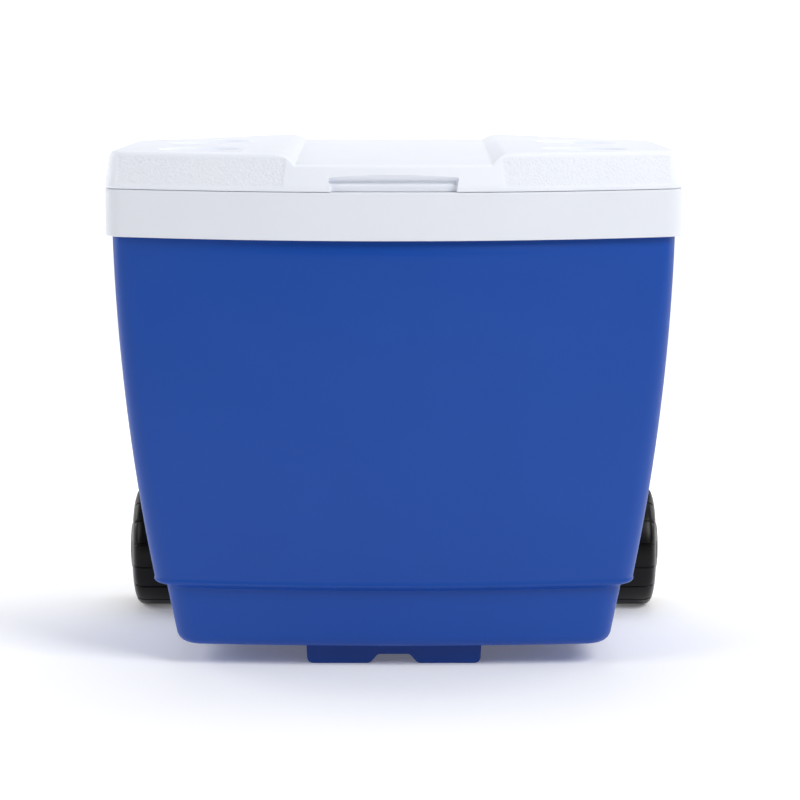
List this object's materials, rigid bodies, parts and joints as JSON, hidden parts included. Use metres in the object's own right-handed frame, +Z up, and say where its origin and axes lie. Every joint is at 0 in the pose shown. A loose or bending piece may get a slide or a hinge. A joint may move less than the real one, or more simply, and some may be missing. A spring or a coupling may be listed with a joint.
{
  "type": "wheeled cooler",
  "caption": "Hard-sided insulated cooler with a hinged lid, rear wheels, a telescopic tow handle and a drain.",
  "frame": {"origin": "on the ground, under the centre of the whole object's box", "axes": "+Z up, +X to the right seen from the front, the lid's finger recess and the foot face -Y, the tow handle is at +Y"},
  "size_m": [0.556, 0.4572, 0.5005],
  "materials": {
    "body_blue": "satin moulded HDPE",
    "foot_blue": "moulded polypropylene",
    "lid_white": "moulded HDPE, pebbled on the wings",
    "liner_white": "smooth moulded polypropylene",
    "foam": "rigid polyurethane foam",
    "wheel_black": "moulded tread",
    "fitting_black": "moulded glass-filled nylon",
    "grip_black": "soft overmould",
    "tube_aluminium": "satin anodised",
    "steel": "zinc plated",
    "seal_rubber": "soft"
  },
  "bodies": {
    "root": {"body_shell": "body_blue", "foam_floor": "foam", "insulation_foam": "foam", "liner": "liner_white", "rim_collar": "lid_white", "front_foot": "foot_blue", "foot_screws": "steel", "axle_boss_left": "fitting_black", "axle_boss_right": "fitting_black", "axle_left": "steel", "axle_right": "steel", "axle_cap_left": "steel", "axle_cap_right": "steel", "wheel_washers": "steel", "handle_tube_left": "tube_aluminium", "handle_tube_right": "tube_aluminium", "handle_upper_guide": "fitting_black", "handle_lower_bracket": "fitting_black", "handle_bracket_screws": "steel", "hinge_base_left": "lid_white", "hinge_base_right": "lid_white", "hinge_pin_left": "steel", "hinge_pin_right": "steel", "hinge_base_screws": "steel", "drain_spout": "liner_white", "drain_nut": "liner_white", "drain_gasket": "seal_rubber", "drain_cap_pin": "steel"},
    "lid": {"lid_shell": "lid_white", "lid_foam": "foam", "lid_pan": "liner_white", "hinge_leaf_left": "lid_white", "hinge_leaf_right": "lid_white", "hinge_leaf_screws": "steel"},
    "handle_mid": {"handle_mid_left": "tube_aluminium", "handle_mid_right": "tube_aluminium", "handle_mid_bush_left": "fitting_black", "handle_mid_bush_right": "fitting_black"},
    "handle_grip": {"handle_rod_left": "tube_aluminium", "handle_rod_right": "tube_aluminium", "handle_grip": "grip_black"},
    "wheel_left": {"wheel_left": "wheel_black"},
    "wheel_right": {"wheel_right": "wheel_black"},
    "drain_cap": {"drain_cap": "liner_white"}
  },
  "joints": [
    {"name": "lid_hinge", "type": "hinge", "parent": "root", "child": "lid", "pos_m": [0, 0.19193, 0.478], "axis": [-1, 0, 0], "range_deg": [0, 92]},
    {"name": "handle_mid_slide", "type": "slide", "parent": "root", "child": "handle_mid", "axis": [0, 0.0712, 0.9975], "range_m": [0, 0.27]},
    {"name": "handle_grip_slide", "type": "slide", "parent": "handle_mid", "child": "handle_grip", "axis": [0, 0.0712, 0.9975], "range_m": [0, 0.27]},
    {"name": "wheel_left_spin", "type": "hinge", "parent": "root", "child": "wheel_left", "pos_m": [-0.255, 0.13743, 0.0625], "axis": [1, 0, 0], "continuous": true},
    {"name": "wheel_right_spin", "type": "hinge", "parent": "root", "child": "wheel_right", "pos_m": [0.255, 0.13743, 0.0625], "axis": [1, 0, 0], "continuous": true},
    {"name": "drain_cap_hinge", "type": "hinge", "parent": "root", "child": "drain_cap", "pos_m": [0, 0.16228, 0.08982], "axis": [1, 0, 0], "range_deg": [0, 100]}
  ]
}
